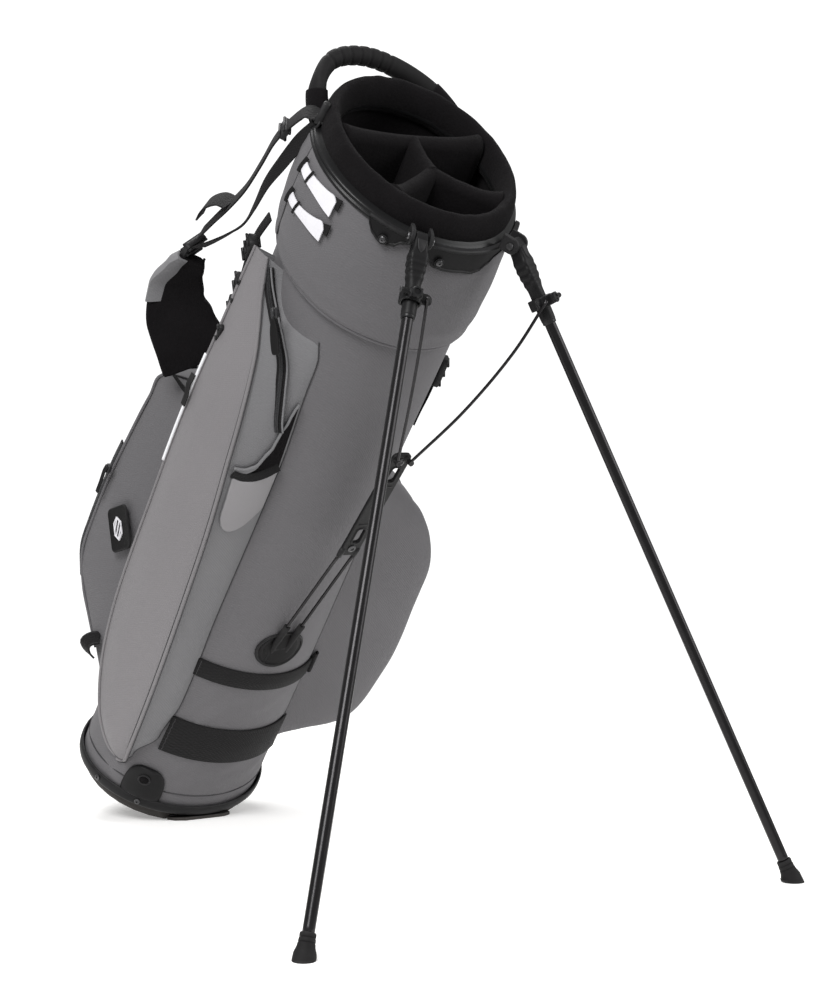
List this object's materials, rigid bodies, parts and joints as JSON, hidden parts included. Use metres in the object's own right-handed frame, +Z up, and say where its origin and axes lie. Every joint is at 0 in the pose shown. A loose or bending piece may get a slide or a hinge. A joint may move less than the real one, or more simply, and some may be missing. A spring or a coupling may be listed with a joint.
{
  "type": "golf stand bag",
  "caption": "Golf stand bag leaning on two hinged legs, with four-way fleece-lined mouth, lift handle, zipped side pockets, shoulder straps and a foot-driven leg spreader.",
  "frame": {"origin": "on the floor, at the middle of the hinged foot's sole under the leg side of the base, on the bag's middle plane", "axes": "+Z up; -Y towards the two legs, where the mouth leans; +X across the bag, to the user's left when facing the legs"},
  "size_m": [0.664, 0.8285, 0.8845],
  "materials": {
    "grey_cloth": "coated polyester twill",
    "pale_panel": "smooth stretch fabric",
    "black_fleece": "brushed fleece",
    "black_webbing": "woven webbing",
    "pad_mesh": "padded mesh fabric",
    "black_plastic": "moulded, fine texture",
    "dark_metal": "dark satin",
    "steel": "satin",
    "rubber": "matt",
    "white_vinyl": "smooth white",
    "zip_coil": "moulded coil"
  },
  "bodies": {
    "bag": {"back_divider": "black_fleece", "back_pocket": "grey_cloth", "back_zip": "zip_coil", "badge": "rubber", "base_cup": "black_plastic", "base_screw_front": "steel", "base_screw_side": "steel", "base_sole": "rubber", "base_tab": "black_plastic", "bottle_sleeve": "pale_panel", "bracket_screw_left": "steel", "bracket_screw_middle": "steel", "bracket_screw_right": "steel", "centre_divider": "black_fleece", "cuff_shell": "grey_cloth", "foot_pin": "steel", "ladder_lock": "black_plastic", "left_divider": "black_fleece", "left_pivot_pin": "steel", "left_pocket": "grey_cloth", "left_zip": "zip_coil", "leg_bracket": "black_plastic", "lift_handle": "black_plastic", "lower_band": "black_webbing", "lower_tag": "white_vinyl", "mouth_frame": "black_plastic", "port_grommet": "black_plastic", "rear_buckle": "black_plastic", "right_divider": "black_fleece", "right_pivot_pin": "steel", "right_pocket": "grey_cloth", "rim_pad": "black_fleece", "second_webbing": "black_webbing", "shoulder_pad": "pad_mesh", "side_buckle": "black_plastic", "strap_anchor": "black_plastic", "strap_slider": "black_plastic", "tube_shell": "grey_cloth", "upper_band": "black_webbing", "upper_tag": "white_vinyl", "upper_webbing": "black_webbing"},
    "left_leg": {"left_leg_yoke": "black_plastic", "left_leg_tube": "dark_metal", "left_leg_clamp": "black_plastic", "left_boot": "rubber"},
    "right_leg": {"right_leg_yoke": "black_plastic", "right_leg_tube": "dark_metal", "right_leg_clamp": "black_plastic", "right_boot": "rubber"},
    "spreader": {"spreader_plate": "black_plastic", "spreader_rods": "dark_metal", "upper_rivet": "steel", "lower_rivet": "steel"},
    "left_link": {"left_spring_rod": "dark_metal"},
    "right_link": {"right_spring_rod": "dark_metal"},
    "foot": {"base_foot": "rubber"},
    "left_zip_slide_body": {"left_zip_slider": "black_plastic"},
    "left_pull": {"left_zip_pull": "rubber"},
    "back_zip_slide_body": {"back_zip_slider": "black_plastic"}
  },
  "joints": [
    {"name": "left_leg_fold", "type": "hinge", "parent": "bag", "child": "left_leg", "pos_m": [-0.063, -0.48991, 0.67224], "axis": [0.8968, -0.3659, -0.2487], "range_deg": [0, 50.71]},
    {"name": "right_leg_fold", "type": "hinge", "parent": "bag", "child": "right_leg", "pos_m": [0.063, -0.48991, 0.67224], "axis": [0.8968, 0.3659, 0.2487], "range_deg": [0, 50.72]},
    {"name": "spreader_slide", "type": "slide", "parent": "bag", "child": "spreader", "axis": [0, 0.7393, -0.6734], "range_m": [0, 0.04342]},
    {"name": "left_link_swing", "type": "hinge", "parent": "spreader", "child": "left_link", "pos_m": [-0.0085, -0.38661, 0.44018], "axis": [-0.7992, 0.585, 0.1378], "range_deg": [0, 9.31]},
    {"name": "right_link_swing", "type": "hinge", "parent": "spreader", "child": "right_link", "pos_m": [0.0085, -0.38661, 0.44018], "axis": [-0.7992, -0.585, -0.1378], "range_deg": [0, 9.31]},
    {"name": "foot_hinge", "type": "hinge", "parent": "bag", "child": "foot", "pos_m": [0, 0.0095, 0.0042], "axis": [1, 0, 0], "range_deg": [0, 34.21]},
    {"name": "left_zip_slide", "type": "slide", "parent": "bag", "child": "left_zip_slide_body", "axis": [0.1127, 0.0213, -0.9934], "range_m": [0, 0.08]},
    {"name": "left_pull_swing", "type": "hinge", "parent": "left_zip_slide_body", "child": "left_pull", "pos_m": [-0.13517, -0.33302, 0.59407], "axis": [-0.4873, 0.8725, -0.0365], "range_deg": [0, 110]},
    {"name": "back_zip_slide", "type": "slide", "parent": "bag", "child": "back_zip_slide_body", "axis": [0, 0.5621, -0.8271], "range_m": [0, 0.14]}
  ],
  "couplings": [
    {"joint": "right_leg_fold", "follows": "left_leg_fold", "ratio": 1},
    {"joint": "spreader_slide", "follows": "left_leg_fold", "m_per_rad": 0.04904},
    {"joint": "left_link_swing", "follows": "left_leg_fold", "ratio": 0.18347},
    {"joint": "right_link_swing", "follows": "left_leg_fold", "ratio": 0.18347},
    {"joint": "foot_hinge", "follows": "left_leg_fold", "ratio": 0.67447}
  ]
}
